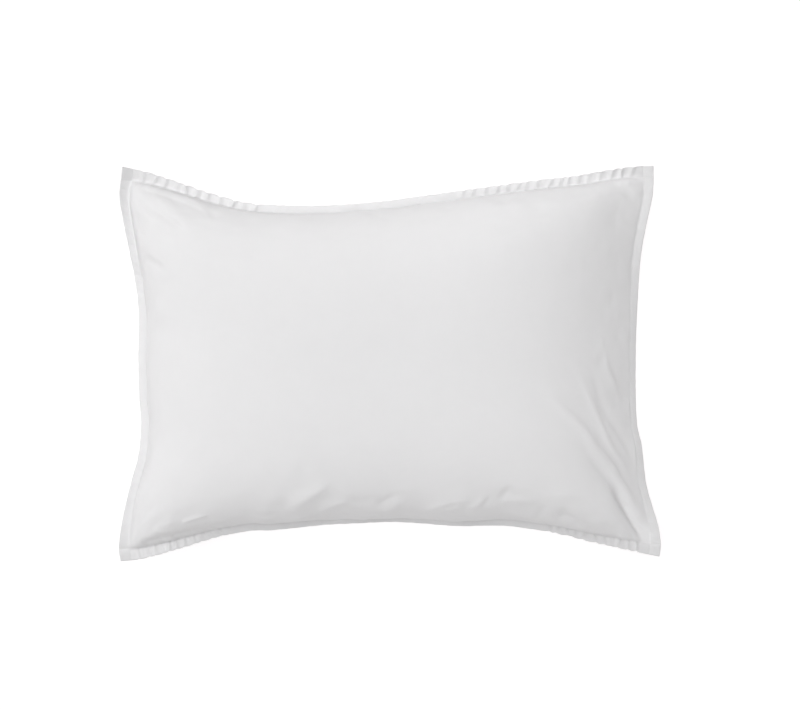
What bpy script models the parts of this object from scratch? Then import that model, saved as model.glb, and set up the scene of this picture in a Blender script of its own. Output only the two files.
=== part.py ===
"""A bed pillowcase with a narrow flange, filled by its pillow and lying on its back.

Units are metres.  +X runs along the long sides, +Y along the short sides and +Z up, out
of the front panel.  The origin is on the surface that the case lies on, under the middle
of its outline.

The case starts as it is cut: a flat rectangle of two layers.  Every point of it is then
carried to where the filled case has it, by its drawn-in outline, its crown and its folds.
"""

from bisect import bisect_right
from math import exp, pi, sin

import bmesh
import bpy
from mathutils import Vector

# The case as it is cut and sewn, lying flat and empty.
CASE_LENGTH = 0.700
CASE_WIDTH = 0.500
FLANGE_WIDTH = 0.012
FLANGE_THICKNESS = 0.0024

# How finely the cloth is divided: cells along each side inside the seam, and how evenly.
# At 1 they are all alike, and below it they get finer towards the seam.
CELLS_LONG = 50
CELLS_SHORT = 36
EVENNESS = 0.45

# The filled case: the height of its seam, and how far each panel swells from there.  For
# each side there is a power, which keeps a panel full for longer when it is higher, and a
# round, which makes it steeper at the seam when it is lower.  The back panel would swell
# past the surface, so it lies flat there.
SEAM_HEIGHT = 0.074
FRONT_SWELL = {
    "depth": 0.106,
    "left": (2.6, 0.45),
    "right": (3.6, 1.05),
    "bottom": (2.9, 0.46),
    "top": (2.8, 0.45),
}
BACK_SWELL = {
    "depth": 0.098,
    "left": (3.2, 0.65),
    "right": (3.2, 0.80),
    "bottom": (2.6, 0.60),
    "top": (2.6, 0.60),
}

# How much higher the long sides' power is at the right end, which is packed fuller.
RIGHT_PACKED = 2.5

# The corners carry no filling, so they hang a little below the seam of the long sides.
CORNER_DROOP = 0.016
CORNER_POWER = 4

# Where the four outer corners end up.
CORNERS = {
    "left_bottom": Vector((-0.334, -0.2455)),
    "right_bottom": Vector((0.335, -0.240)),
    "left_top": Vector((-0.332, 0.243)),
    "right_top": Vector((0.327, 0.244)),
}

# How far filling has drawn each side in from the straight line between its corners.
# Columns: the place along the side, as a share of it, and the draw there.  Long sides
# run from left to right, short sides from bottom to top.
DRAWN_TOP = (
    (0.00, 0.000),
    (0.05, 0.0085),
    (0.11, 0.0215),
    (0.18, 0.037),
    (0.24, 0.047),
    (0.30, 0.050),
    (0.38, 0.050),
    (0.56, 0.039),
    (0.67, 0.029),
    (0.79, 0.0185),
    (0.90, 0.008),
    (1.00, 0.000),
)
DRAWN_BOTTOM = (
    (0.00, 0.000),
    (0.04, 0.0015),
    (0.11, 0.014),
    (0.18, 0.028),
    (0.24, 0.0355),
    (0.28, 0.036),
    (0.38, 0.0425),
    (0.50, 0.0455),
    (0.60, 0.041),
    (0.72, 0.039),
    (0.80, 0.030),
    (0.87, 0.0185),
    (0.93, 0.009),
    (1.00, 0.000),
)
DRAWN_LEFT = (
    (0.00, 0.000),
    (0.04, -0.002),
    (0.12, 0.0045),
    (0.20, 0.014),
    (0.27, 0.0235),
    (0.35, 0.027),
    (0.52, 0.023),
    (0.63, 0.0235),
    (0.78, 0.012),
    (0.86, 0.0035),
    (0.93, -0.003),
    (1.00, 0.000),
)
DRAWN_RIGHT = (
    (0.00, 0.000),
    (0.03, -0.001),
    (0.13, 0.009),
    (0.19, 0.0165),
    (0.29, 0.0215),
    (0.34, 0.027),
    (0.52, 0.027),
    (0.70, 0.022),
    (0.85, 0.011),
    (0.93, 0.002),
    (1.00, 0.000),
)

# The main folds of the front panel, each a soft ridge or, with a negative rise, a soft
# trough.  Columns: where it starts and ends in plan, how far it rises, and its half-width.
FOLDS = (
    # start            end               rise    half-width
    ((0.250, -0.120), (0.318, -0.214), -0.0075, 0.011),
    ((0.262, -0.104), (0.314, -0.198), 0.0045, 0.010),
    ((0.190, -0.040), (0.262, -0.120), 0.0040, 0.016),
    ((-0.150, -0.166), (-0.085, -0.128), 0.0030, 0.012),
    ((-0.025, -0.170), (0.040, -0.142), 0.0030, 0.012),
    ((-0.245, -0.186), (-0.218, -0.196), 0.0030, 0.010),
    ((-0.325, 0.205), (-0.205, 0.175), -0.0030, 0.012),
)

# Folds flatten out over this share of a panel's swell, so none crosses the seam.
FOLD_FADE = 0.33

# How far the outer edge of the left side's flange curls up.  Columns as above.
CURL_LEFT = (
    (0.00, 0.000),
    (0.68, 0.000),
    (0.78, 0.005),
    (1.00, 0.005),
)

# Colour, roughness and metallic value of the cloth.
COTTON = ("white_cotton", (0.84, 0.84, 0.845, 1.0), 0.85, 0.0)


def eased(table, place):
    """The table's second column at a place, on a smooth curve through its rows."""
    places = [row[0] for row in table]
    values = [row[1] for row in table]
    last = len(table) - 1
    i = min(max(bisect_right(places, place) - 1, 0), last - 1)

    def slope(k):
        before = max(k - 1, 0)
        after = min(k + 1, last)
        return (values[after] - values[before]) / (places[after] - places[before])

    span = places[i + 1] - places[i]
    f = (place - places[i]) / span
    rise = values[i + 1] - values[i]
    start_bend = slope(i) * span - rise
    end_bend = rise - slope(i + 1) * span
    return values[i] + f * rise + f * (1 - f) * ((1 - f) * start_bend + f * end_bend)


def side_point(start, end, table, inward, share):
    """A point of one outer side, at a share of the way from its start to its end."""
    line = CORNERS[start].lerp(CORNERS[end], share)
    return line + Vector(inward) * eased(table, share)


def plan(across, up):
    """Where a point of the flat case, given as shares of its sides, lies in plan."""
    bottom = side_point("left_bottom", "right_bottom", DRAWN_BOTTOM, (0, 1), across)
    top = side_point("left_top", "right_top", DRAWN_TOP, (0, -1), across)
    left = side_point("left_bottom", "left_top", DRAWN_LEFT, (1, 0), up)
    right = side_point("right_bottom", "right_top", DRAWN_RIGHT, (-1, 0), up)
    low = CORNERS["left_bottom"].lerp(CORNERS["right_bottom"], across)
    high = CORNERS["left_top"].lerp(CORNERS["right_top"], across)
    return bottom.lerp(top, up) + left.lerp(right, across) - low.lerp(high, up)


def fullness(flat, swell):
    """The share of a panel's full swell at a point of the flat case, 0 at the seam."""
    reach_x = min(abs(flat.x) / (CASE_LENGTH / 2 - FLANGE_WIDTH), 1.0)
    reach_y = min(abs(flat.y) / (CASE_WIDTH / 2 - FLANGE_WIDTH), 1.0)
    power, rounding = swell["left" if flat.x < 0 else "right"]
    share = (1 - reach_x ** power) ** rounding
    power, rounding = swell["bottom" if flat.y < 0 else "top"]
    if flat.x > 0:
        power += RIGHT_PACKED * reach_x ** 2
    return share * (1 - reach_y ** power) ** rounding


def fold_rise(spot):
    """How far the folds lift the front panel at a point in plan."""
    total = 0.0
    for start, end, rise, half_width in FOLDS:
        first = Vector(start)
        run = Vector(end) - first
        along = min(max((spot - first).dot(run) / run.length_squared, 0.0), 1.0)
        aside = (spot - first - run * along).length / half_width
        total += rise * exp(-aside * aside)
    return total


def flange_height(flat, across, up):
    """The height of the flange's middle, and of the seam inside it."""
    corner = abs((2 * across - 1) * (2 * up - 1)) ** CORNER_POWER
    outside_left_seam = max(1 - (flat.x + CASE_LENGTH / 2) / FLANGE_WIDTH, 0.0)
    return SEAM_HEIGHT - CORNER_DROOP * corner + eased(CURL_LEFT, up) * outside_left_seam


def filled_place(flat):
    """Carry a point of the flat case to its place on the filled one."""
    across = flat.x / CASE_LENGTH + 0.5
    up = flat.y / CASE_WIDTH + 0.5
    spot = plan(across, up)
    middle = flange_height(flat, across, up)
    if flat.z > 0:
        full = fullness(flat, FRONT_SWELL)
        rise = FRONT_SWELL["depth"] * full + fold_rise(spot) * min(full / FOLD_FADE, 1.0)
        return Vector((spot.x, spot.y, middle + FLANGE_THICKNESS / 2 + rise))
    drop = BACK_SWELL["depth"] * fullness(flat, BACK_SWELL)
    return Vector((spot.x, spot.y, max(middle - FLANGE_THICKNESS / 2 - drop, 0.0)))


def cut_lines(length, cells):
    """The lines that divide the cloth: the seams, the flange's middle and the cells."""
    seam = length / 2 - FLANGE_WIDTH
    lines = [-seam - FLANGE_WIDTH / 2, seam + FLANGE_WIDTH / 2]
    for i in range(cells + 1):
        place = 2 * i / cells - 1
        lines.append(seam * (EVENNESS * place + (1 - EVENNESS) * sin(pi / 2 * place)))
    return lines


def flat_case():
    """The empty case: one flat slab of both layers, divided along its cut lines."""
    case = bmesh.new()
    bmesh.ops.create_cube(case, size=1.0)
    bmesh.ops.scale(case, vec=(CASE_LENGTH, CASE_WIDTH, FLANGE_THICKNESS), verts=case.verts)
    for normal, length, cells in (
        (Vector((1, 0, 0)), CASE_LENGTH, CELLS_LONG),
        (Vector((0, 1, 0)), CASE_WIDTH, CELLS_SHORT),
    ):
        for line in cut_lines(length, cells):
            everything = case.verts[:] + case.edges[:] + case.faces[:]
            bmesh.ops.bisect_plane(case, geom=everything, plane_co=normal * line, plane_no=normal)
    return case


def centre_on_base(case):
    """Put the origin on the base, under the middle of the outline."""
    xs = [vert.co.x for vert in case.verts]
    ys = [vert.co.y for vert in case.verts]
    middle = Vector(((min(xs) + max(xs)) / 2, (min(ys) + max(ys)) / 2, 0))
    bmesh.ops.translate(case, vec=-middle, verts=case.verts)


def cotton():
    """The cloth's material."""
    name, colour, roughness, metallic = COTTON
    material = bpy.data.materials.new(name)
    material.use_nodes = True
    surface = material.node_tree.nodes["Principled BSDF"]
    surface.inputs["Base Color"].default_value = colour
    surface.inputs["Roughness"].default_value = roughness
    surface.inputs["Metallic"].default_value = metallic
    return material


def build_pillowcase(collection):
    """The filled pillowcase, one closed solid."""
    case = flat_case()
    for vert in case.verts:
        vert.co = filled_place(vert.co)
    centre_on_base(case)
    mesh = bpy.data.meshes.new("pillowcase")
    case.to_mesh(mesh)
    case.free()
    mesh.shade_smooth()
    mesh.materials.append(cotton())
    collection.objects.link(bpy.data.objects.new("pillowcase", mesh))


def main():
    for old in list(bpy.data.objects):
        bpy.data.objects.remove(old, do_unlink=True)
    collection = bpy.data.collections.new("filled_pillowcase")
    bpy.context.scene.collection.children.link(collection)
    build_pillowcase(collection)


main()
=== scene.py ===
"""A plump white percale pillowcase, lying on its back and seen from straight above.

The case starts as it is cut, a flat bag of two panels with a narrow flange round them.  It
is carried to its filled form, and cloth simulation then swells it, with spare cloth
where the real one bunches.  Folds, tucks and the hem of the opening are pressed in
afterwards, and the topstitching is laid along the seam.

Metres, in the frame's own axes: +X along the long sides, +Z up out of the front panel.
"""

import math
import random

import bmesh
import bpy
import numpy as np
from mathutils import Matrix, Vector


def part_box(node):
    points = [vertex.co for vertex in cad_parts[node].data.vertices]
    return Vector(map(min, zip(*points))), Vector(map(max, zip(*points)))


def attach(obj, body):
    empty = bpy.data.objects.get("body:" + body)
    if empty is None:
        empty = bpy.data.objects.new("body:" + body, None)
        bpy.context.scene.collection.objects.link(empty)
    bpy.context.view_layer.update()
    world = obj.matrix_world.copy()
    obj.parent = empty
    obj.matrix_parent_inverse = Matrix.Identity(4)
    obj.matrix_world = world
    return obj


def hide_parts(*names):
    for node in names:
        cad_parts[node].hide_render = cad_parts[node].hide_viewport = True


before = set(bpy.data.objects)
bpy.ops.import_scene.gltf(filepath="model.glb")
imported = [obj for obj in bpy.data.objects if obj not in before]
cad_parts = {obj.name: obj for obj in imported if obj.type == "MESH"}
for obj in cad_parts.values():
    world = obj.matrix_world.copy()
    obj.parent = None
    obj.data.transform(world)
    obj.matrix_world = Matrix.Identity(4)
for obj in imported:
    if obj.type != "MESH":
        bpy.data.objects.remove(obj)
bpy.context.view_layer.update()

LOW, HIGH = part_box("pillowcase")

# ---------------------------------------------------------------- the case as it is cut

CASE_LENGTH = 0.700
CASE_WIDTH = 0.500
FLANGE_WIDTH = 0.012
FLANGE_THICKNESS = 0.0016

# The panels are divided into cells, which are finer beside the seam, where the cloth
# bunches, than in the middle.
FINE_CELL = 0.0046
BROAD_CELL = 0.0078
FINE_BAND = 0.090

# Rows of the flange, as distances in from its outer edge.
FLANGE_ROWS = (0.0, 0.002, 0.006, 0.0100)
SEAM_ROW = 0.0020
SLACK = 0.00005

HALF_LENGTH = CASE_LENGTH / 2
HALF_WIDTH = CASE_WIDTH / 2
SEAM_X = HALF_LENGTH - FLANGE_WIDTH
SEAM_Y = HALF_WIDTH - FLANGE_WIDTH

# ------------------------------------------------------------------- the filled outline

# The outer corners, measured in from the corners of the case's box.
LEFT_BOTTOM = np.array((LOW.x + 0.002, LOW.y))
RIGHT_BOTTOM = np.array((HIGH.x - 0.001, LOW.y + 0.0055))
LEFT_TOP = np.array((LOW.x + 0.004, HIGH.y - 0.001))
RIGHT_TOP = np.array((HIGH.x - 0.009, HIGH.y))

# How far filling draws each side in from the straight line between its corners.
# Columns: place along the side as a share of it, and draw.  Long sides run from left to
# right and short sides from bottom to top, in every table of sides here.  A draw that isn't
# nought at an end moves that corner's tip a little.
DRAWN_TOP = (
    (0.00, 0.0012),
    (0.05, 0.0085),
    (0.11, 0.0215),
    (0.18, 0.0372),
    (0.24, 0.0470),
    (0.30, 0.0500),
    (0.38, 0.0502),
    (0.47, 0.0464),
    (0.56, 0.0392),
    (0.67, 0.0290),
    (0.79, 0.0185),
    (0.85, 0.0140),
    (0.90, 0.0080),
    (0.95, 0.0025),
    (1.00, 0.000),
)
DRAWN_BOTTOM = (
    (0.00, -0.0012),
    (0.04, 0.0016),
    (0.11, 0.0142),
    (0.18, 0.0280),
    (0.24, 0.0358),
    (0.28, 0.0362),
    (0.32, 0.0387),
    (0.38, 0.0426),
    (0.45, 0.0445),
    (0.50, 0.0456),
    (0.55, 0.0438),
    (0.60, 0.0407),
    (0.64, 0.0394),
    (0.70, 0.0398),
    (0.74, 0.0372),
    (0.80, 0.0302),
    (0.87, 0.0183),
    (0.93, 0.0088),
    (1.00, -0.0016),
)
DRAWN_LEFT = (
    (0.00, 0.000),
    (0.04, -0.0014),
    (0.12, 0.0050),
    (0.20, 0.0144),
    (0.27, 0.0238),
    (0.35, 0.0270),
    (0.42, 0.0245),
    (0.52, 0.0232),
    (0.63, 0.0236),
    (0.70, 0.0198),
    (0.78, 0.0123),
    (0.86, 0.0040),
    (0.93, -0.0018),
    (1.00, 0.0018),
)
DRAWN_RIGHT = (
    (0.00, 0.000),
    (0.03, -0.001),
    (0.08, 0.002),
    (0.13, 0.009),
    (0.19, 0.0165),
    (0.29, 0.0215),
    (0.34, 0.027),
    (0.52, 0.027),
    (0.70, 0.022),
    (0.78, 0.018),
    (0.85, 0.011),
    (0.93, 0.002),
    (1.00, 0.000),
)

# About how far a short side and a long one are drawn in half way along.
MIDDLE_DRAW_SHORT = 0.0232
MIDDLE_DRAW_LONG = 0.0456

# How the flange lies outside the seam.  Columns: place, the width that shows in plan,
# and how far its outer edge rises above the seam.
LIE_TOP = (
    (0.00, 0.0120, 0.008),
    (0.12, 0.0110, 0.006),
    (0.25, 0.0105, 0.003),
    (0.45, 0.0105, 0.0015),
    (0.60, 0.0105, 0.004),
    (0.80, 0.0110, 0.0065),
    (0.92, 0.0110, 0.0065),
    (1.00, 0.0115, 0.001),
)
LIE_BOTTOM = (
    (0.00, 0.0120, 0.000),
    (0.10, 0.0115, -0.001),
    (0.20, 0.0105, -0.007),
    (0.38, 0.0075, -0.0065),
    (0.50, 0.0058, -0.006),
    (0.62, 0.0075, -0.0075),
    (0.75, 0.0090, -0.007),
    (0.88, 0.0105, -0.0075),
    (1.00, 0.0120, -0.005),
)
LIE_LEFT = (
    (0.00, 0.0120, 0.003),
    (0.25, 0.0110, 0.004),
    (0.55, 0.0110, 0.0015),
    (0.66, 0.0110, 0.002),
    (0.76, 0.0095, 0.005),
    (0.90, 0.0110, 0.0075),
    (1.00, 0.0120, 0.0075),
)
LIE_RIGHT = (
    (0.00, 0.0120, 0.001),
    (0.18, 0.0100, -0.007),
    (0.35, 0.0080, -0.0065),
    (0.55, 0.0085, -0.007),
    (0.70, 0.0100, -0.0055),
    (0.85, 0.0110, -0.002),
    (1.00, 0.0120, 0.001),
)

# -------------------------------------------------------------------- the filled volume

# The seam's height, and how far each panel stands from it in the middle.  A profile gives
# the power and the round of a panel towards its left, right, bottom and top side.  A
# higher power keeps it full for longer, and a lower round makes it steeper at the seam.
SEAM_HEIGHT = 0.074
CORNER_DROOP = 0.016
CORNER_POWER = 4
FRONT_DEPTH = 0.106
FRONT_PROFILE = ((2.6, 0.45), (3.6, 1.05), (2.9, 0.46), (2.8, 0.45))
BACK_DEPTH = 0.098
BACK_PROFILE = ((3.2, 0.65), (3.2, 0.80), (2.6, 0.60), (2.6, 0.60))

# How much higher the long sides' power is at the right end, where the filling is packed
# into the corners and the end slopes down evenly from one long side to the other.  With it,
# a power for its growth towards the right, which is lower where it starts nearer the middle.
PACKED_BOTTOM = (2.5, 2.0)
PACKED_TOP = (4.2, 1.8)

# Half the case's length and width in plan at its middle, from seam to seam.
FILLED_HALF = (0.300, 0.190)

# The cloth is settled evenly over the filled form, in so many steps from the middle to the
# seam, and less near the other two sides: a higher power keeps it settled nearer to them.
SETTLE_STEPS = 600
SETTLE_POWER = 2.6

# The back panel lies on the surface, which it meets over a soft bend of this height.
REST_HEIGHT = 0.0012

# Where the cut leaves more cloth than the filling takes up, and the panels bunch.
# Columns: where, how far it spreads along X and Y, and its share of the most spare cloth.
MOST_SPARE = 0.10
SPARE_EVERYWHERE = 0.07
SPARE_AT_SEAM = 0.75
SPARE_BAND = 0.080
SPARE = (
    ((0.265, -0.160), (0.110, 0.110), 0.25),
    ((-0.080, -0.175), (0.120, 0.060), 0.15),
    ((0.080, -0.185), (0.110, 0.055), 0.15),
    ((-0.250, 0.180), (0.100, 0.070), 0.15),
)

# The filling is never quite even.  Its small bumps start the wrinkles off.
BUMP_HEIGHT = 0.0010
BUMP_ROUNDS = 5
BUMP_SEED = 7

# The share of the simulated wrinkles that is kept, in the middle, where the panel is pulled
# smooth, and beside the seam; and how near the seam the change starts and ends.
WRINKLES_IN_MIDDLE = 0.14
WRINKLES_AT_SEAM = 0.60
WRINKLES_FULL = 0.045
WRINKLES_FADED = 0.140

# Where the filling pulls the panel firm between its folds, so the wrinkles are held back.
# Columns: where, how far it spreads along X and Y, and the share of the wrinkles lost.
FIRM = (
    ((0.300, -0.175), (0.055, 0.060), 0.80),
    ((0.285, 0.185), (0.060, 0.060), 0.80),
)

# The simulation's length and pressure, how far a point may move, and how near the cloth
# comes to the surface that it lies on.
SWELL_FRAMES = 30
SWELL_PRESSURE = 40
MOST_SWELL = 0.025
CLOTH_GAP = 0.001

# The cloth keeps its wrinkles from the simulation, but not the broad swell beneath them,
# which is found by so many rounds of averaging with the neighbours.
BROAD_ROUNDS = 60


def smooth_table(table, column, places):
    """A column of a table at many places, on a smooth curve through its rows."""
    xs = np.array([row[0] for row in table])
    ys = np.array([row[column] for row in table])
    slopes = np.empty(len(xs))
    slopes[1:-1] = (ys[2:] - ys[:-2]) / (xs[2:] - xs[:-2])
    slopes[0] = (ys[1] - ys[0]) / (xs[1] - xs[0])
    slopes[-1] = (ys[-1] - ys[-2]) / (xs[-1] - xs[-2])
    places = np.clip(places, 0.0, 1.0)
    i = np.clip(np.searchsorted(xs, places, side="right") - 1, 0, len(xs) - 2)
    span = xs[i + 1] - xs[i]
    f = (places - xs[i]) / span
    rise = ys[i + 1] - ys[i]
    start_bend = slopes[i] * span - rise
    end_bend = rise - slopes[i + 1] * span
    return ys[i] + f * rise + f * (1 - f) * ((1 - f) * start_bend + f * end_bend)


def side_points(start, end, table, inward, shares):
    """Points of one outer side, at shares of the way from its start to its end."""
    line = start + (end - start) * shares[:, None]
    return line + np.array(inward) * smooth_table(table, 1, shares)[:, None]


def outline_shares(flat, seam, lie_low, lie_high, along, span):
    """Turn distances on the flat case into shares of the filled outline, so that the flange
    has the width that it shows on each side."""
    low = smooth_table(lie_low, 1, along) / span
    high = smooth_table(lie_high, 1, along) / span
    inside = low + (flat + seam) / (2 * seam) * (1 - low - high)
    below = low * (1 + (flat + seam) / FLANGE_WIDTH)
    above = 1 - high * (1 - (flat - seam) / FLANGE_WIDTH)
    return np.where(flat < -seam, below, np.where(flat > seam, above, inside))


def plan(u, v):
    """Where points of the flat case lie in plan on the filled one."""
    along = u / CASE_LENGTH + 0.5
    beside = v / CASE_WIDTH + 0.5
    span_x = HIGH.x - LOW.x - 2 * MIDDLE_DRAW_SHORT
    span_y = HIGH.y - LOW.y - 2 * MIDDLE_DRAW_LONG
    across = outline_shares(u, SEAM_X, LIE_LEFT, LIE_RIGHT, beside, span_x)
    up = outline_shares(v, SEAM_Y, LIE_BOTTOM, LIE_TOP, along, span_y)
    bottom = side_points(LEFT_BOTTOM, RIGHT_BOTTOM, DRAWN_BOTTOM, (0, 1), across)
    top = side_points(LEFT_TOP, RIGHT_TOP, DRAWN_TOP, (0, -1), across)
    left = side_points(LEFT_BOTTOM, LEFT_TOP, DRAWN_LEFT, (1, 0), up)
    right = side_points(RIGHT_BOTTOM, RIGHT_TOP, DRAWN_RIGHT, (-1, 0), up)
    across = across[:, None]
    up = up[:, None]
    low = LEFT_BOTTOM + (RIGHT_BOTTOM - LEFT_BOTTOM) * across
    high = LEFT_TOP + (RIGHT_TOP - LEFT_TOP) * across
    return bottom + (top - bottom) * up + left + (right - left) * across - low - (high - low) * up


def beyond_seam(u, v):
    """How far points lie outside the seam, beside the short sides and the long ones.  Less
    than nought is inside it."""
    return np.abs(u) - SEAM_X, np.abs(v) - SEAM_Y


def half_swell(reach, shape):
    """The share of the full depth at a reach towards one side: 1 to 0 as reach does 0 to 1."""
    power, round_off = shape
    return (1 - reach ** power) ** round_off


def swell(u, v, profile):
    """The share of a panel's full depth: 1 in its middle, 0 at the seam."""
    left, right, bottom, top = profile
    reach_x = np.clip(np.abs(u) / SEAM_X, 0, 1)
    reach_y = np.clip(np.abs(v) / SEAM_Y, 0, 1)
    long_way = np.where(u < 0, half_swell(reach_x, left), half_swell(reach_x, right))
    to_right = np.clip(u / SEAM_X, 0, 1)
    bottom = (bottom[0] + PACKED_BOTTOM[0] * to_right ** PACKED_BOTTOM[1], bottom[1])
    top = (top[0] + PACKED_TOP[0] * to_right ** PACKED_TOP[1], top[1])
    short_way = np.where(v < 0, half_swell(reach_y, bottom), half_swell(reach_y, top))
    return long_way * short_way


def cloth_reach(reach, half, depth, shape):
    """Where a share of the cloth from the middle to the seam ends up in plan, also as a
    share.  Cloth that climbs covers less of the plan than cloth that lies level."""
    steps = 1 - (1 - np.linspace(0, 1, SETTLE_STEPS)) ** 3
    rise = depth * half_swell(steps, shape)
    length = np.concatenate(([0], np.cumsum(np.hypot(np.diff(steps) * half, np.diff(rise)))))
    return np.interp(reach, length / length[-1], steps)


def settle(u, v, depth, profile):
    """Shift points of the flat case so that the filled form has its cloth spread evenly."""
    left, right, bottom, top = profile
    moved = []
    for flat, other, seam, other_seam, half, low, high in (
        (u, v, SEAM_X, SEAM_Y, FILLED_HALF[0], left, right),
        (v, u, SEAM_Y, SEAM_X, FILLED_HALF[1], bottom, top),
    ):
        reach = np.clip(np.abs(flat) / seam, 0, 1)
        low_reach = cloth_reach(reach, half, depth, low)
        high_reach = cloth_reach(reach, half, depth, high)
        shifted = np.where(flat < 0, low_reach, high_reach)
        inside = 1 - np.clip(np.abs(other) / other_seam, 0, 1) ** SETTLE_POWER
        moved.append(flat + np.sign(flat) * (shifted - reach) * seam * inside)
    return moved


def flange_height(u, v):
    """The height of the seam, and of the flange as it rises or hangs outside it."""
    along = u / CASE_LENGTH + 0.5
    beside = v / CASE_WIDTH + 0.5
    corner = np.abs((2 * along - 1) * (2 * beside - 1)) ** CORNER_POWER
    height = SEAM_HEIGHT - CORNER_DROOP * corner
    out_x, out_y = beyond_seam(u, v)
    for out, places, lie_low, lie_high, flat in (
        (out_x, beside, LIE_LEFT, LIE_RIGHT, u),
        (out_y, along, LIE_BOTTOM, LIE_TOP, v),
    ):
        low_rise = smooth_table(lie_low, 2, places)
        high_rise = smooth_table(lie_high, 2, places)
        share = np.clip(out / FLANGE_WIDTH, 0, 1)
        height += np.where(flat < 0, low_rise, high_rise) * share
    return height


def filled_form(cut):
    """The filled case before simulation.  cut holds u, v and the side, 1 front, -1 back."""
    filled = np.empty_like(cut)
    for side, depth, profile in (
        (1, FRONT_DEPTH, FRONT_PROFILE),
        (-1, BACK_DEPTH, BACK_PROFILE),
    ):
        panel = cut[:, 2] == side
        u, v = settle(cut[panel, 0], cut[panel, 1], depth, profile)
        stands = FLANGE_THICKNESS / 2 + depth * swell(u, v, profile)
        height = flange_height(u, v) + side * stands
        filled[panel] = np.column_stack((plan(u, v), np.maximum(height, REST_HEIGHT)))
    return filled


# ------------------------------------------------------------------------- mesh helpers


def read_vertices(mesh):
    """A mesh's vertices as an array of rows."""
    places = np.empty(len(mesh.vertices) * 3)
    mesh.vertices.foreach_get("co", places)
    return places.reshape(-1, 3)


def write_vertices(mesh, places):
    """Put an array of rows back as a mesh's vertices."""
    mesh.vertices.foreach_set("co", places.astype(np.float32).ravel())
    mesh.update()


def read_normals(mesh):
    """A mesh's vertex normals as an array of rows."""
    normals = np.empty(len(mesh.vertices) * 3, dtype=np.float32)
    mesh.vertex_normals.foreach_get("vector", normals)
    return normals.reshape(-1, 3).astype(float)


def read_cut(mesh):
    """Where each vertex is on the flat case: u, v and side."""
    rows = np.empty(len(mesh.vertices) * 3, dtype=np.float32)
    mesh.attributes["cut"].data.foreach_get("vector", rows)
    return rows.reshape(-1, 3).astype(float)


def apply_modifier(piece, name):
    """Apply one modifier, as it stands at this frame."""
    bpy.ops.object.select_all(action="DESELECT")
    piece.select_set(True)
    bpy.context.view_layer.objects.active = piece
    bpy.ops.object.modifier_apply(modifier=name)


def cut_lines(half, seam):
    """The lines that divide the flat case from one outer edge to the other."""
    outside = [half - row for row in FLANGE_ROWS]
    band = seam - FINE_BAND
    fine = np.linspace(band, seam - SEAM_ROW, round(FINE_BAND / FINE_CELL))[1:]
    fine = np.append(fine, seam)
    broad = np.linspace(-band, band, round(2 * band / BROAD_CELL) + 1)
    upper = np.concatenate((fine, outside[::-1]))
    return np.concatenate((-upper[::-1], broad, upper))


# ---------------------------------------------------------------------------- the cloth


def flat_case():
    """The empty case: a flat bag of two panels, joined at the flange's outer edge."""
    xs = cut_lines(HALF_LENGTH, SEAM_X)
    ys = cut_lines(HALF_WIDTH, SEAM_Y)
    bpy.ops.object.select_all(action="DESELECT")
    bpy.ops.mesh.primitive_grid_add(
        x_subdivisions=len(xs) - 1, y_subdivisions=len(ys) - 1, size=1,
    )
    case = bpy.context.object
    case.name = "pillowcase_cloth"
    case.data.name = "pillowcase_cloth"
    places = read_vertices(case.data)
    columns = np.rint((places[:, 0] + 0.5) * (len(xs) - 1)).astype(int)
    rows = np.rint((places[:, 1] + 0.5) * (len(ys) - 1)).astype(int)
    places[:, 0] = xs[columns]
    places[:, 1] = ys[rows]
    write_vertices(case.data, places)
    layers = case.modifiers.new("Two layers", "SOLIDIFY")
    layers.thickness = FLANGE_THICKNESS
    layers.offset = 0
    apply_modifier(case, layers.name)
    places = read_vertices(case.data)
    cut = np.column_stack((places[:, 0], places[:, 1], np.sign(places[:, 2])))
    case.data.attributes.new("cut", "FLOAT_VECTOR", "POINT")
    case.data.attributes["cut"].data.foreach_set("vector", cut.astype(np.float32).ravel())
    return case


def spare_cloth(u, v):
    """The share of the most spare cloth that there is at each point."""
    out_x, out_y = beyond_seam(u, v)
    near = np.clip(1 + np.maximum(out_x, out_y) / SPARE_BAND, 0, 1)
    share = SPARE_EVERYWHERE + SPARE_AT_SEAM * near
    for (x, y), (spread_x, spread_y), amount in SPARE:
        share += amount * np.exp(-(((u - x) / spread_x) ** 2) - ((v - y) / spread_y) ** 2)
    return np.clip(share, 0, 1)


def weighted_group(piece, name, weights):
    """A vertex group with a weight for each vertex."""
    group = piece.vertex_groups.new(name=name)
    for index in np.nonzero(weights > 0)[0]:
        group.add([int(index)], float(weights[index]), "REPLACE")
    return group.name


def averaged(values, mesh, held, rounds):
    """Values of a mesh's vertices, averaged with their neighbours' many times over.  They
    are nought where the cloth is held."""
    ends = np.empty(len(mesh.edges) * 2, dtype=np.int32)
    mesh.edges.foreach_get("vertices", ends)
    first, second = ends.reshape(-1, 2).T
    total = len(mesh.vertices)
    count = np.bincount(ends, minlength=total)[:, None]
    values = np.where(held[:, None], 0, values)
    for _ in range(rounds):
        sums = np.column_stack([
            np.bincount(first, column[second], total) + np.bincount(second, column[first], total)
            for column in values.T
        ])
        values = np.where(held[:, None], 0, 0.5 * values + 0.5 * sums / count)
    return values


def roughen(case, held):
    """Give the filling small bumps, none of them at the seam."""
    rng = np.random.default_rng(BUMP_SEED)
    bumps = averaged(rng.normal(size=(len(held), 1)), case.data, held, BUMP_ROUNDS)
    bumps *= BUMP_HEIGHT / bumps.std()
    write_vertices(case.data, read_vertices(case.data) + read_normals(case.data) * bumps)


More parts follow.
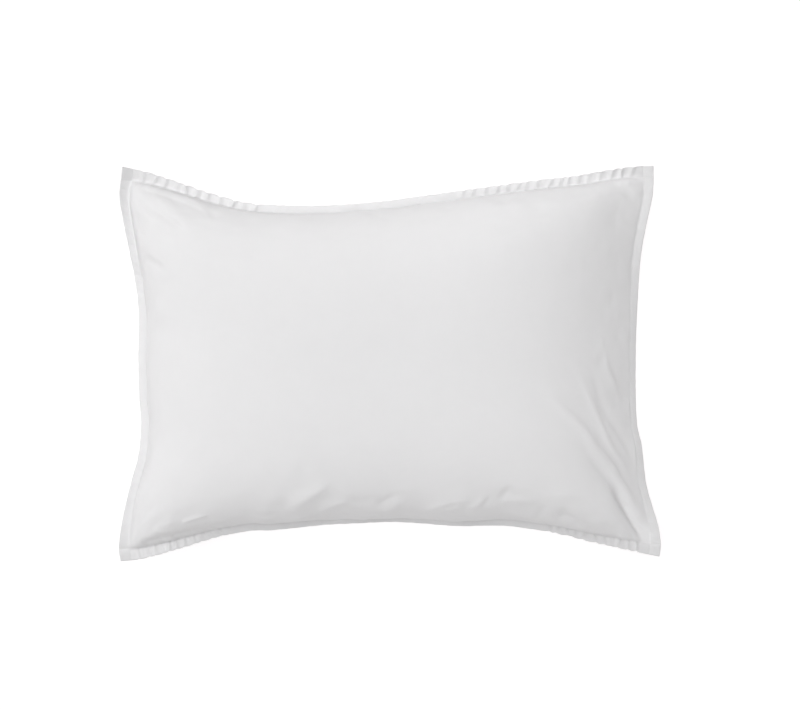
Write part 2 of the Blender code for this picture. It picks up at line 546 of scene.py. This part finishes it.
def swell_cloth(case):
    """Swell the panels with Blender's cloth, held at the seam and stopped by the floor."""
    start = read_vertices(case.data)
    u, v, _ = read_cut(case.data).T
    out_x, out_y = beyond_seam(u, v)
    held = np.maximum(out_x, out_y) > -SLACK
    roughen(case, held)
    cloth = case.modifiers.new("Swell", "CLOTH")
    settings = cloth.settings
    settings.quality = 8
    settings.mass = 0.2
    settings.air_damping = 4
    settings.tension_stiffness = 60
    settings.compression_stiffness = 60
    settings.shear_stiffness = 30
    settings.bending_stiffness = 0.5
    settings.tension_damping = 10
    settings.compression_damping = 10
    settings.shear_damping = 10
    settings.vertex_group_mass = weighted_group(case, "held", held.astype(float))
    settings.vertex_group_pressure = weighted_group(case, "filled", (~held).astype(float))
    settings.vertex_group_shrink = weighted_group(case, "spare", spare_cloth(u, v))
    settings.shrink_min = 0
    settings.shrink_max = -MOST_SPARE
    settings.use_pressure = True
    settings.uniform_pressure_force = SWELL_PRESSURE
    settings.effector_weights.gravity = 0
    cloth.collision_settings.distance_min = CLOTH_GAP
    cloth.point_cache.frame_start = 1
    cloth.point_cache.frame_end = SWELL_FRAMES

    bpy.ops.object.select_all(action="DESELECT")
    bpy.ops.mesh.primitive_plane_add(size=2, location=(0, 0, -CLOTH_GAP))
    table = bpy.context.object
    table.modifiers.new("Stop", "COLLISION")
    table.collision.thickness_outer = CLOTH_GAP

    scene = bpy.context.scene
    scene.frame_end = SWELL_FRAMES
    for number in range(1, SWELL_FRAMES + 1):
        scene.frame_set(number)
    apply_modifier(case, cloth.name)
    bpy.data.objects.remove(table, do_unlink=True)
    scene.frame_set(1)

    moved = read_vertices(case.data) - start
    length = np.linalg.norm(moved, axis=1, keepdims=True)
    moved *= np.minimum(1, MOST_SWELL / np.maximum(length, 1e-9))
    moved -= averaged(moved, case.data, held, BROAD_ROUNDS)
    inside = -np.maximum(out_x, out_y)
    near = np.clip((WRINKLES_FADED - inside) / (WRINKLES_FADED - WRINKLES_FULL), 0, 1)
    kept = WRINKLES_IN_MIDDLE + (WRINKLES_AT_SEAM - WRINKLES_IN_MIDDLE) * near
    for (x, y), (spread_x, spread_y), lost in FIRM:
        kept *= 1 - lost * np.exp(-(((u - x) / spread_x) ** 2) - ((v - y) / spread_y) ** 2)
    moved *= kept[:, None]
    write_vertices(case.data, start + moved)


def subdivide_smooth(case):
    """Halve every cell, with the surface smoothed as it goes."""
    finer = case.modifiers.new("Finer", "SUBSURF")
    finer.levels = 1
    finer.render_levels = 1
    apply_modifier(case, finer.name)


def subdivide_flange(case):
    """Halve the flange's cells along the seam, where its tucks are narrow."""
    mesh = case.data
    u, v, _ = read_cut(mesh).T
    out_x, out_y = beyond_seam(u, v)
    ends = np.empty(len(mesh.edges) * 2, dtype=np.int32)
    mesh.edges.foreach_get("vertices", ends)
    first, second = ends.reshape(-1, 2).T
    runs_x = np.abs(u[first] - u[second]) > np.abs(v[first] - v[second])
    beside_long = np.minimum(out_y[first], out_y[second]) > -SLACK
    beside_short = np.minimum(out_x[first], out_x[second]) > -SLACK
    chosen = np.where(runs_x, beside_long & ~beside_short, beside_short & ~beside_long)
    work = bmesh.new()
    work.from_mesh(mesh)
    work.edges.ensure_lookup_table()
    picked = [work.edges[index] for index in np.nonzero(chosen)[0]]
    bmesh.ops.subdivide_edges(work, edges=picked, cuts=1, use_grid_fill=False)
    work.to_mesh(mesh)
    work.free()
    mesh.update()


# ------------------------------------------------------------------------ pressed folds

# Every crease has a crest of this power: 2 is fully rounded, and a lower one is sharper.  It
# can sink through this share of what the panel stands above its seam, and it fades out over
# this distance from the seam.
CREASE_CREST = 1.6
CREASE_ROOM = 0.8
CREASE_FADE = 0.006

# Creases of the front panel, in plan.  Columns: the points that each runs through, how
# far it rises, or sinks when negative, its half-width on its left and on its right as it
# runs, and the shares of it that its start and end take to fade.
CREASES = (
    # The fold into the bottom right corner, which deepens as it nears it.
    (((0.222, -0.085), (0.237, -0.105), (0.254, -0.124), (0.268, -0.141), (0.280, -0.159),
      (0.297, -0.184)), -0.0032, 0.0044, 0.0085, 0.40, 0.35),
    (((0.268, -0.141), (0.280, -0.159), (0.293, -0.177), (0.304, -0.196), (0.316, -0.210),
      (0.325, -0.221)), -0.0108, 0.0042, 0.0095, 0.48, 0.10),
    # The ridge beside it, from the shoulder to the corner.
    (((0.174, -0.020), (0.201, -0.050), (0.234, -0.082), (0.248, -0.104), (0.267, -0.123),
      (0.279, -0.142), (0.290, -0.160), (0.300, -0.178), (0.312, -0.197)),
     0.0038, 0.0055, 0.0075, 0.35, 0.25),
    # Lesser folds on its right, which fan out from the same corner.
    (((0.241, -0.071), (0.262, -0.103), (0.276, -0.123), (0.285, -0.142), (0.299, -0.160)),
     -0.0007, 0.0032, 0.0032, 0.35, 0.30),
    (((0.212, 0.013), (0.232, -0.023), (0.260, -0.086), (0.270, -0.105), (0.284, -0.123),
      (0.294, -0.142), (0.303, -0.160)), 0.0020, 0.0045, 0.0050, 0.40, 0.35),
    (((0.238, 0.004), (0.257, -0.050), (0.268, -0.068), (0.281, -0.086), (0.293, -0.105),
      (0.300, -0.123), (0.303, -0.142)), -0.0017, 0.0050, 0.0050, 0.35, 0.30),
    (((0.253, 0.042), (0.263, -0.004), (0.284, -0.052)), 0.0018, 0.0046, 0.0060, 0.35, 0.40),
    # Folds off the top left corner.
    (((-0.316, 0.219), (-0.267, 0.203), (-0.240, 0.192), (-0.211, 0.175)),
     -0.0027, 0.0034, 0.0090, 0.20, 0.30),
    (((-0.226, 0.196), (-0.216, 0.184), (-0.207, 0.171)), -0.0022, 0.0036, 0.0060, 0.40, 0.40),
    (((-0.303, 0.198), (-0.271, 0.177), (-0.238, 0.153)), -0.0019, 0.0026, 0.0060, 0.30, 0.40),
    (((-0.312, 0.182), (-0.303, 0.160), (-0.293, 0.143)), -0.0018, 0.0040, 0.0060, 0.30, 0.40),
    (((-0.300, 0.129), (-0.282, 0.120), (-0.265, 0.108)), -0.0026, 0.0034, 0.0060, 0.30, 0.40),
    # The bottom left corner, where the panel drops to its seam, and a pinch above that.
    (((-0.312, -0.229), (-0.280, -0.219), (-0.231, -0.207), (-0.172, -0.196)),
     -0.0040, 0.0085, 0.0030, 0.12, 0.60),
    (((-0.253, -0.194), (-0.236, -0.187), (-0.219, -0.183)), 0.0017, 0.0021, 0.0021, 0.25, 0.35),
    # Wrinkles above the bottom side, which climb to the right.
    (((-0.126, -0.178), (-0.096, -0.159), (-0.066, -0.136)), 0.0029, 0.0075, 0.0085, 0.30, 0.35),
    (((-0.088, -0.179), (-0.065, -0.169), (-0.043, -0.163)), 0.0017, 0.0055, 0.0060, 0.30, 0.40),
    (((-0.112, -0.118), (-0.094, -0.133)), -0.0010, 0.0060, 0.0060, 0.40, 0.40),
    (((-0.020, -0.174), (-0.003, -0.163), (0.014, -0.155)), -0.0014, 0.0044, 0.0044, 0.30, 0.40),
    (((-0.010, -0.181), (0.005, -0.173), (0.019, -0.160)), 0.0014, 0.0044, 0.0055, 0.30, 0.40),
    (((0.040, -0.179), (0.072, -0.168), (0.103, -0.163)), 0.0022, 0.0065, 0.0075, 0.30, 0.35),
    (((0.050, -0.180), (0.072, -0.172), (0.089, -0.167)), -0.0012, 0.0030, 0.0030, 0.30, 0.30),
    (((0.093, -0.177), (0.106, -0.168), (0.120, -0.158)), 0.0017, 0.0040, 0.0045, 0.30, 0.35),
    (((0.111, -0.172), (0.122, -0.157)), -0.0014, 0.0036, 0.0036, 0.35, 0.40),
    (((0.129, -0.167), (0.138, -0.155), (0.146, -0.144)), -0.0016, 0.0042, 0.0042, 0.35, 0.40),
    (((0.180, -0.188), (0.187, -0.169)), -0.0015, 0.0045, 0.0045, 0.35, 0.40),
    (((0.200, -0.172), (0.216, -0.186), (0.236, -0.201)), -0.0024, 0.0050, 0.0050, 0.30, 0.20),
    (((-0.087, -0.084), (-0.058, -0.083), (-0.029, -0.086)), -0.0006, 0.0060, 0.0060, 0.40, 0.40),
    # Short pulls under the top side.
    (((-0.040, 0.190), (-0.019, 0.181), (0.000, 0.171)), -0.0013, 0.0036, 0.0036, 0.35, 0.40),
    (((0.058, 0.191), (0.076, 0.184)), -0.0011, 0.0035, 0.0035, 0.35, 0.40),
    (((0.122, 0.190), (0.145, 0.200), (0.166, 0.209)), -0.0022, 0.0040, 0.0045, 0.30, 0.25),
    # The hollow under the top right corner.
    (((0.300, 0.222), (0.286, 0.202), (0.276, 0.176), (0.272, 0.140)),
     -0.0040, 0.0170, 0.0240, 0.20, 0.50),
    # Slack down the right shoulder.
    (((0.205, 0.140), (0.195, 0.080), (0.186, 0.010)), 0.0004, 0.0085, 0.0085, 0.40, 0.40),
    (((0.232, 0.130), (0.226, 0.070), (0.220, 0.030)), 0.0004, 0.0075, 0.0075, 0.40, 0.40),
    (((0.170, 0.110), (0.165, 0.040)), -0.0003, 0.0080, 0.0080, 0.40, 0.40),
)

# Tucks that the stitching draws up across the flange.  Columns: side, the stretch that
# they fill, their average spacing, and their height.
TUCKS = (
    ("top", 0.020, 0.250, 0.0145, 0.00280),
    ("top", 0.250, 0.640, 0.0165, 0.00060),
    ("top", 0.640, 0.985, 0.0145, 0.00185),
    ("bottom", 0.015, 0.170, 0.0110, 0.00180),
    ("bottom", 0.170, 0.800, 0.0190, 0.00060),
    ("bottom", 0.800, 0.985, 0.0115, 0.00230),
    ("left", 0.020, 0.680, 0.0180, 0.00045),
    ("left", 0.680, 0.980, 0.0140, 0.00070),
    ("right", 0.020, 0.980, 0.0170, 0.00040),
)
TUCK_SEED = 12

# A tuck's half-width as a share of the spacing, how far it fades into each panel, how near
# the seam it is felt at all, and how much of its height it draws the flange's edge in by.
TUCK_WIDTH_SHARE = 0.23
TUCK_FADE_FRONT = 0.0085
TUCK_FADE_BACK = 0.0045
TUCK_REACH = 0.03
TUCK_DRAW = 0.6

# No two tucks are alike.  The least and most of a tuck's shift and of the gap to the next,
# as shares of the spacing, of its height and half-width, as shares of theirs, and of its
# lean along the seam for each metre out from it.
TUCK_SHIFTS = (-0.1, 0.1)
TUCK_HEIGHTS = (0.55, 1.25)
TUCK_WIDTHS = (0.8, 1.2)
TUCK_LEANS = (-0.1, 0.5)
TUCK_GAPS = (0.85, 1.15)

# The left side's flange is pleated over itself at one place, given as a share of the way up
# that side.  It drops steeply on its lower edge and climbs back over the slope above that,
# on a curve of this power, and it fades into the panel.
PLEAT_AT = 0.725
PLEAT_EDGE = 0.002
PLEAT_SLOPE = 0.020
PLEAT_POWER = 1.5
PLEAT_DROP = 0.0042
PLEAT_FADE = 0.004

# How deep a groove the stitches pull along the left, right, bottom and top seam.
GROOVES = (0.00005, 0.00040, 0.00100, 0.00005)
GROOVE_HALF_WIDTH = 0.0021

# At each corner the short side's flange lies over the long side's.  The lap takes in the
# seam's own row, to within a hair.
CORNER_LAP = 0.0006
HAIR = 1e-6

# The opening, across the back panel: where the outer layer ends, how far it stands over the
# inner one, over what width it drops to that, and how far from the seam it fades.  Then the
# width of its hem and the depth of the groove that the hem's stitches pull.
OPENING_FROM_END = 0.130
OPENING_STEP = 0.0009
OPENING_EDGE = 0.0025
OPENING_FADE = 0.010
OPENING_HEM = 0.020
HEM_GROOVE = 0.00080


def crease_height(spots, points, left_half, right_half, fade_in, fade_out):
    """The share of a crease's full height at each spot in plan."""
    points = np.array(points)
    steps = np.linalg.norm(np.diff(points, axis=0), axis=1)
    reached = np.concatenate(([0], np.cumsum(steps)))
    best = np.full(len(spots), 1e9)
    height = np.zeros(len(spots))
    for start, end, base, step in zip(points[:-1], points[1:], reached[:-1], steps):
        heading = (end - start) / step
        offset = spots - start
        run = np.clip(offset @ heading, 0, step)
        aside = offset - run[:, None] * heading
        distance = np.linalg.norm(aside, axis=1)
        on_left = aside @ np.array((-heading[1], heading[0])) > 0
        share = (base + run) / reached[-1]
        taper = np.clip(share / fade_in, 0, 1) * np.clip((1 - share) / fade_out, 0, 1)
        taper = taper * taper * (3 - 2 * taper)
        half_width = np.where(on_left, left_half, right_half)
        here = taper * np.exp(-((distance / half_width) ** CREASE_CREST))
        height = np.where(distance < best, here, height)
        best = np.minimum(best, distance)
    return height


def press_creases(places, normals, cut):
    """Press the front panel's creases in along its normals.  None sinks below the seam."""
    out_x, out_y = beyond_seam(cut[:, 0], cut[:, 1])
    inside = -np.maximum(out_x, out_y)
    shown = (cut[:, 2] > 0) * np.clip(inside / CREASE_FADE, 0, 1)
    room = np.maximum(places[:, 2] - flange_height(cut[:, 0], cut[:, 1]), 0) * CREASE_ROOM
    for points, rise, left_half, right_half, fade_in, fade_out in CREASES:
        height = crease_height(places[:, :2], points, left_half, right_half, fade_in, fade_out)
        places += normals * np.maximum(rise * height * shown, -room)[:, None]


def tucks_on(side):
    """Every tuck of one side: its place along the seam, height, half-width and lean."""
    rng = random.Random(f"{TUCK_SEED} {side}")
    length = 2 * (SEAM_X if side in ("top", "bottom") else SEAM_Y)
    found = []
    for name, start, end, spacing, height in TUCKS:
        if name != side:
            continue
        place = start * length
        while place < end * length:
            found.append((
                place - length / 2 + rng.uniform(*TUCK_SHIFTS) * spacing,
                height * rng.uniform(*TUCK_HEIGHTS),
                TUCK_WIDTH_SHARE * spacing * rng.uniform(*TUCK_WIDTHS),
                rng.uniform(*TUCK_LEANS),
            ))
            place += spacing * rng.uniform(*TUCK_GAPS)
    return found


def raise_tucks(places, cut):
    """Raise the tucks across the flange, fading into each panel, and draw its edge in."""
    u, v, side = cut.T
    out_x, out_y = beyond_seam(u, v)
    for name, along, out, inward in (
        ("top", u, np.where(v > 0, out_y, -1), (0, -1)),
        ("bottom", u, np.where(v < 0, out_y, -1), (0, 1)),
        ("left", v, np.where(u < 0, out_x, -1), (1, 0)),
        ("right", v, np.where(u > 0, out_x, -1), (-1, 0)),
    ):
        near = out > -TUCK_REACH
        a = along[near]
        d = out[near]
        height = np.zeros(len(a))
        for place, rise, half_width, lean in tucks_on(name):
            height += rise * np.exp(-(((a - place - lean * d) / half_width) ** 2))
        ease = np.where(side[near] > 0, TUCK_FADE_FRONT, TUCK_FADE_BACK)
        share = np.where(d > 0, 1.0, np.exp(-np.abs(d) / ease))
        places[near, 2] += height * share
        draw = TUCK_DRAW * height * np.clip(d / FLANGE_WIDTH, 0, 1)
        places[near, :2] += draw[:, None] * np.array(inward)


def shape_flange(places, cut):
    """The stitching's groove, the pleat on the left and the laps at the corners."""
    u, v, side = cut.T
    out_x, out_y = beyond_seam(u, v)
    left, right, bottom, top = GROOVES
    on_short = np.where(u < 0, left, right) * np.exp(-((out_x / GROOVE_HALF_WIDTH) ** 2))
    on_long = np.where(v < 0, bottom, top) * np.exp(-((out_y / GROOVE_HALF_WIDTH) ** 2))
    places[:, 2] -= side * np.maximum(on_short, on_long)

    beside = (v / CASE_WIDTH + 0.5 - PLEAT_AT) * CASE_WIDTH
    on_left = (u < 0) * np.clip(1 + out_x / PLEAT_FADE, 0, 1)
    above = np.clip(1 - beside / PLEAT_SLOPE, 0, 1) ** PLEAT_POWER
    below = np.clip(1 + beside / PLEAT_EDGE, 0, 1)
    places[:, 2] -= PLEAT_DROP * np.where(beside > 0, above, below) * on_left

    lap = (out_x > -HAIR) & (np.abs(v) > SEAM_Y - HAIR) & (side > 0)
    places[lap, 2] += CORNER_LAP


def hem_column(cut):
    """The line of the panel's own division that is nearest to the stitches of the hem."""
    wanted = HALF_LENGTH - OPENING_FROM_END - OPENING_HEM
    inside = cut[np.abs(cut[:, 1]) < SEAM_Y - SLACK, 0]
    return inside[np.argmin(np.abs(inside - wanted))]


def lay_opening(places, cut):
    """The back panel's opening: one hemmed layer ends on the other."""
    u, v, side = cut.T
    out_x, out_y = beyond_seam(u, v)
    inside = np.clip(-np.maximum(out_x, out_y) / OPENING_FADE, 0, 1)
    edge = HALF_LENGTH - OPENING_FROM_END
    past = np.clip((u - edge) / OPENING_EDGE, 0, 1)
    places[:, 2] += (side < 0) * OPENING_STEP * past * inside
    hem_line = np.exp(-(((u - hem_column(cut)) / GROOVE_HALF_WIDTH) ** 2))
    places[:, 2] += (side < 0) * HEM_GROOVE * hem_line * inside


def rest_flat(places):
    """Nothing reaches below the surface that the case lies on."""
    places[:, 2] -= places[:, 2].min()


def finish_cloth(case):
    """Press every fold into the swollen case."""
    places = read_vertices(case.data)
    normals = read_normals(case.data)
    cut = read_cut(case.data)
    press_creases(places, normals, cut)
    raise_tucks(places, cut)
    shape_flange(places, cut)
    lay_opening(places, cut)
    rest_flat(places)
    write_vertices(case.data, places)


def map_cloth(case):
    """A UV map in metres of flat cloth, which the weave follows."""
    cut = read_cut(case.data)
    corners = np.empty(len(case.data.loops), dtype=np.int32)
    case.data.loops.foreach_get("vertex_index", corners)
    spots = cut[corners, :2] + np.array((HALF_LENGTH, HALF_WIDTH))
    layer = case.data.uv_layers.get("UVMap") or case.data.uv_layers.new(name="UVMap")
    layer.name = "cloth"
    layer.data.foreach_set("uv", spots.astype(np.float32).ravel())


# ------------------------------------------------------------------------- topstitching

# From one stitch to the next, how much of that shows as thread, and the thread's radius.
STITCH_PITCH = 0.0030
STITCH_LENGTH = 0.0024
THREAD_RADIUS = 0.00019


def seam_path(case, side):
    """Points along the seam on one face, in order round the case."""
    cut = read_cut(case.data)
    places = read_vertices(case.data)
    normals = read_normals(case.data)
    out_x, out_y = beyond_seam(cut[:, 0], cut[:, 1])
    on_seam = (np.abs(np.maximum(out_x, out_y)) < SLACK) & (cut[:, 2] * side > 0.5)
    chosen = np.nonzero(on_seam)[0]
    u = cut[chosen, 0] / SEAM_X
    v = cut[chosen, 1] / SEAM_Y
    turn = np.where(
        np.abs(u) > np.abs(v),
        np.where(u > 0, v, 4 - v),
        np.where(v > 0, 2 - u, 6 + u),
    )
    order = chosen[np.argsort(turn, kind="stable")]
    return places[order] + normals[order] * THREAD_RADIUS


def hem_path(case):
    """Points along the stitches of the opening's hem, from one long seam to the other."""
    cut = read_cut(case.data)
    places = read_vertices(case.data)
    normals = read_normals(case.data)
    on_line = np.abs(cut[:, 0] - hem_column(cut)) < SLACK
    chosen = np.nonzero(on_line & (np.abs(cut[:, 1]) < SEAM_Y - SLACK) & (cut[:, 2] < 0))[0]
    order = chosen[np.argsort(cut[chosen, 1])]
    return places[order] + normals[order] * THREAD_RADIUS


def stitch_line(name, points, closed):
    """A row of stitches along a path: one stitch, repeated and bent to the path."""
    data = bpy.data.curves.new(name + "_path", "CURVE")
    data.dimensions = "3D"
    data.twist_mode = "Z_UP"
    spline = data.splines.new("POLY")
    spline.points.add(len(points) - 1)
    for point, place in zip(spline.points, points):
        point.co = (*place, 1)
    spline.use_cyclic_u = closed
    path = bpy.data.objects.new(name + "_path", data)
    bpy.context.scene.collection.objects.link(path)

    bpy.ops.object.select_all(action="DESELECT")
    bpy.ops.mesh.primitive_uv_sphere_add(
        segments=6, ring_count=6, radius=1, rotation=(0, math.pi / 2, 0),
    )
    row = bpy.context.object
    row.name = name
    row.data.name = name
    row.scale = (THREAD_RADIUS, THREAD_RADIUS, STITCH_LENGTH / 2)
    bpy.ops.object.transform_apply(location=True, rotation=True, scale=True)
    ends = np.roll(points, -1, axis=0) if closed else points[1:]
    starts = points if closed else points[:-1]
    length = np.linalg.norm(ends - starts, axis=1).sum()
    repeat = row.modifiers.new("Repeat", "ARRAY")
    repeat.use_relative_offset = False
    repeat.use_constant_offset = True
    repeat.constant_offset_displace = (STITCH_PITCH, 0, 0)
    repeat.count = int(length / STITCH_PITCH)
    follow = row.modifiers.new("Follow", "CURVE")
    follow.object = path
    follow.deform_axis = "POS_X"
    apply_modifier(row, repeat.name)
    apply_modifier(row, follow.name)
    bpy.data.objects.remove(path, do_unlink=True)
    bpy.ops.object.shade_smooth()
    return row


# ------------------------------------------------------------------------------ finishes


class Wire:
    """A number that varies over a surface: one output of a node, with arithmetic."""

    def __init__(self, finish, socket):
        self.finish = finish
        self.socket = socket

    def maths(self, operation, first, second=0.0):
        return self.finish.node("ShaderNodeMath", {"operation": operation}, {0: first, 1: second})

    def __add__(self, other):
        return self.maths("ADD", self, other)

    def __radd__(self, other):
        return self.maths("ADD", other, self)

    def __sub__(self, other):
        return self.maths("SUBTRACT", self, other)

    def __rsub__(self, other):
        return self.maths("SUBTRACT", other, self)

    def __mul__(self, other):
        return self.maths("MULTIPLY", self, other)

    def __rmul__(self, other):
        return self.maths("MULTIPLY", other, self)

    def sine(self):
        return self.maths("SINE", self)

    def size(self):
        """How far it is from nought, either way."""
        return self.maths("ABSOLUTE", self)

    def under_nought(self):
        """1 where it is under nought, and 0 elsewhere."""
        return self.maths("LESS_THAN", self)


class Finish:
    """A material being built from nodes."""

    def __init__(self, name):
        self.material = bpy.data.materials.new(name)
        self.material.use_nodes = True
        self.tree = self.material.node_tree
        self.surface = self.tree.nodes["Principled BSDF"]

    def join(self, socket, value):
        """Link a socket to a varying number, or set it to a fixed one."""
        if isinstance(value, Wire):
            self.tree.links.new(value.socket, socket)
        else:
            socket.default_value = value

    def node(self, kind, settings, inputs, output=0):
        """Add a node, with its settings first and then its inputs, and return an output."""
        made = self.tree.nodes.new(kind)
        for name, value in settings.items():
            setattr(made, name, value)
        for name, value in inputs.items():
            self.join(made.inputs[name], value)
        return Wire(self, made.outputs[output])

    def set(self, **values):
        """Set or link inputs of the surface, named with underscores for spaces."""
        for name, value in values.items():
            self.join(self.surface.inputs[name.replace("_", " ")], value)


YARN_PITCH = 0.00032

# The cloth where its yarns are thinnest and thickest.  The last of these is painted shade: the
# flange has no filling behind it to throw light back, and its colour is darkened instead.
COTTON_GREY = (0.810, 0.810, 0.815, 1)
COTTON_WHITE = (0.840, 0.840, 0.842, 1)
FLANGE_PAINTED_SHADE = (0.945, 0.945, 0.945, 1)

THREAD_GREY = (0.76, 0.76, 0.765, 1)
THREAD_WHITE = (0.82, 0.82, 0.82, 1)


def percale():
    """White cotton percale: a fine plain weave with slightly uneven yarns, and painted shade on
    the flange.
    """
    finish = Finish("white_percale")
    cloth = finish.node("ShaderNodeUVMap", {"uv_map": "cloth"}, {})
    split = finish.tree.nodes.new("ShaderNodeSeparateXYZ")
    finish.join(split.inputs[0], cloth)
    along = Wire(finish, split.outputs[0])
    across = Wire(finish, split.outputs[1])
    turns = math.pi / YARN_PITCH
    warp = (along * turns).sine()
    weft = (across * turns).sine()
    weave = (warp * weft).size()

    def noise(scale, detail, stretch=(1, 1, 1)):
        place = finish.node("ShaderNodeMapping", {}, {"Vector": cloth, "Scale": stretch})
        return finish.node(
            "ShaderNodeTexNoise",
            {"noise_dimensions": "2D"},
            {"Vector": place, "Scale": scale, "Detail": detail, "Roughness": 0.6},
        )

    thick_warp = noise(60, 3, (25, 1, 1))
    thick_weft = noise(60, 3, (1, 25, 1))
    slubs = thick_warp + thick_weft - 1
    rumple = noise(45, 4)
    tone = rumple * 0.5 + slubs * 0.5
    shade = finish.node(
        "ShaderNodeMix",
        {"data_type": "RGBA"},
        {0: tone, 6: COTTON_GREY, 7: COTTON_WHITE},
        2,
    )
    # Painted shade: the flange, outside the seam, is multiplied by the last grey above, darker
    # than the panels.
    filled_long = ((along - HALF_LENGTH).size() - SEAM_X).under_nought()
    filled_short = ((across - HALF_WIDTH).size() - SEAM_Y).under_nought()
    shade = finish.node(
        "ShaderNodeMix",
        {"data_type": "RGBA", "blend_type": "MULTIPLY"},
        {0: 1 - filled_long * filled_short, 6: shade, 7: FLANGE_PAINTED_SHADE},
        2,
    )
    relief = weave * 0.00008 + slubs * 0.00010 + rumple * 0.00025
    bump = finish.node(
        "ShaderNodeBump",
        {},
        {"Height": relief, "Strength": 0.5, "Distance": 1.0},
    )
    finish.set(Base_Color=shade, Roughness=0.86 - slubs * 0.08, Normal=bump)
    finish.set(Sheen_Weight=0.08, Sheen_Roughness=0.5, Specular_IOR_Level=0.25)
    return finish.material


def thread():
    """White sewing thread, two plies twisted together."""
    finish = Finish("white_thread")
    place = finish.node("ShaderNodeTexCoord", {}, {}, 3)
    plies = finish.node(
        "ShaderNodeTexWave",
        {"bands_direction": "DIAGONAL"},
        {"Vector": place, "Scale": 900, "Distortion": 1.0},
        1,
    )
    bump = finish.node(
        "ShaderNodeBump",
        {},
        {"Height": plies * 0.00004, "Strength": 0.6, "Distance": 1.0},
    )
    shade = finish.node(
        "ShaderNodeMix",
        {"data_type": "RGBA"},
        {0: plies, 6: THREAD_GREY, 7: THREAD_WHITE},
        2,
    )
    finish.set(Base_Color=shade, Roughness=0.62, Normal=bump)
    finish.set(Sheen_Weight=0.1, Specular_IOR_Level=0.35)
    return finish.material


def studio_white(name, glow):
    """The pale floor and wall, which shine a little themselves so that shadows stay faint."""
    finish = Finish(name)
    finish.set(Base_Color=STUDIO_GREY, Roughness=0.9)
    finish.set(Emission_Color=GLOW_COLOUR, Emission_Strength=glow)
    return finish.material


# --------------------------------------------------------------------------------- stage

# The lens and its sensor in millimetres, the width that the camera takes in at the flange's
# level, and the place that it looks straight down at.
LENS = 85
SENSOR = 36
VIEW_WIDTH = 0.991
AIM = (0.0124, 0.0099)
FLANGE_LEVEL = 0.060

# Soft lamps: where each comes from, its strength and its angular size in degrees.  The rest
# of the studio adds a faint light from all round.
LAMPS = (
    ("key", (-0.372, 0.300, 0.878), 1.647, 60),
    ("overhead", (0, 0, 1), 1.422, 60),
)
LAMP_COLOUR = (1.0, 0.996, 0.998)
SURROUND_STRENGTH = 0.03
SURROUND_COLOUR = (1.0, 0.966, 0.976, 1)

# The floor and the studio's wall, far round the case, are pale grey and shine a little by
# themselves.  The floor lies a hair below the case.
FLOOR_SIZE = 30
FLOOR_LEVEL = -0.0004
FLOOR_GLOW = 0.77
WALL_GLOW = 0.45
WALL_RADIUS = 14
WALL_HEIGHT = 2.8
STUDIO_GREY = (0.32, 0.32, 0.32, 1)
GLOW_COLOUR = (1, 0.98, 0.985, 1)


def build_studio():
    """The floor that the case lies on, and the wall round it."""
    bpy.ops.object.select_all(action="DESELECT")
    bpy.ops.mesh.primitive_plane_add(size=FLOOR_SIZE, location=(0, 0, FLOOR_LEVEL))
    floor = bpy.context.object
    floor.name = "floor"
    floor.data.materials.append(studio_white("pale_floor", FLOOR_GLOW))
    bpy.ops.object.select_all(action="DESELECT")
    bpy.ops.mesh.primitive_cylinder_add(
        vertices=128, radius=WALL_RADIUS, depth=WALL_HEIGHT, end_fill_type="NOTHING",
        location=(0, 0, WALL_HEIGHT / 2),
    )
    wall = bpy.context.object
    wall.name = "wall"
    wall.data.materials.append(studio_white("pale_wall", WALL_GLOW))


def hang_lights():
    """The soft lamps, and the faint light from all round."""
    scene = bpy.context.scene
    world = bpy.data.worlds.new("studio")
    world.use_nodes = True
    surround = world.node_tree.nodes["Background"]
    surround.inputs["Color"].default_value = SURROUND_COLOUR
    surround.inputs["Strength"].default_value = SURROUND_STRENGTH
    scene.world = world
    for name, direction, strength, spread in LAMPS:
        light = bpy.data.lights.new(name, "SUN")
        light.energy = strength
        light.angle = math.radians(spread)
        light.color = LAMP_COLOUR
        lamp = bpy.data.objects.new(name, light)
        lamp.rotation_euler = Vector(direction).to_track_quat("Z", "Y").to_euler()
        scene.collection.objects.link(lamp)
    scene.view_settings.view_transform = "Standard"


def place_camera():
    """Straight above, with the width that it takes in fixed at the flange's level."""
    camera = bpy.data.cameras.new("camera")
    camera.lens = LENS
    camera.sensor_width = SENSOR
    holder = bpy.data.objects.new("camera", camera)
    holder.location = (*AIM, FLANGE_LEVEL + VIEW_WIDTH * LENS / SENSOR)
    bpy.context.scene.collection.objects.link(holder)
    bpy.context.scene.camera = holder


# ---------------------------------------------------------------------------------- main


def make_pillowcase():
    """The case: cut flat, filled, swollen, and its folds and hem pressed in."""
    case = flat_case()
    write_vertices(case.data, filled_form(read_cut(case.data)))
    swell_cloth(case)
    subdivide_smooth(case)
    subdivide_flange(case)
    finish_cloth(case)
    map_cloth(case)
    case.vertex_groups.clear()
    case.data.shade_smooth()
    case.data.materials.clear()
    case.data.materials.append(percale())
    return case


def make_stitching(case):
    """The topstitching on both faces of the flange, and the hem's stitches at the back."""
    sewn = thread()
    rows = [
        stitch_line("topstitching_front", seam_path(case, 1), True),
        stitch_line("topstitching_back", seam_path(case, -1), True),
        stitch_line("hem_stitching", hem_path(case), False),
    ]
    for row in rows:
        row.data.materials.clear()
        row.data.materials.append(sewn)
    return rows


place_camera()
hang_lights()
build_studio()

pillowcase = make_pillowcase()
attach(pillowcase, "root")
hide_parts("pillowcase")

for row in make_stitching(pillowcase):
    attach(row, "root")
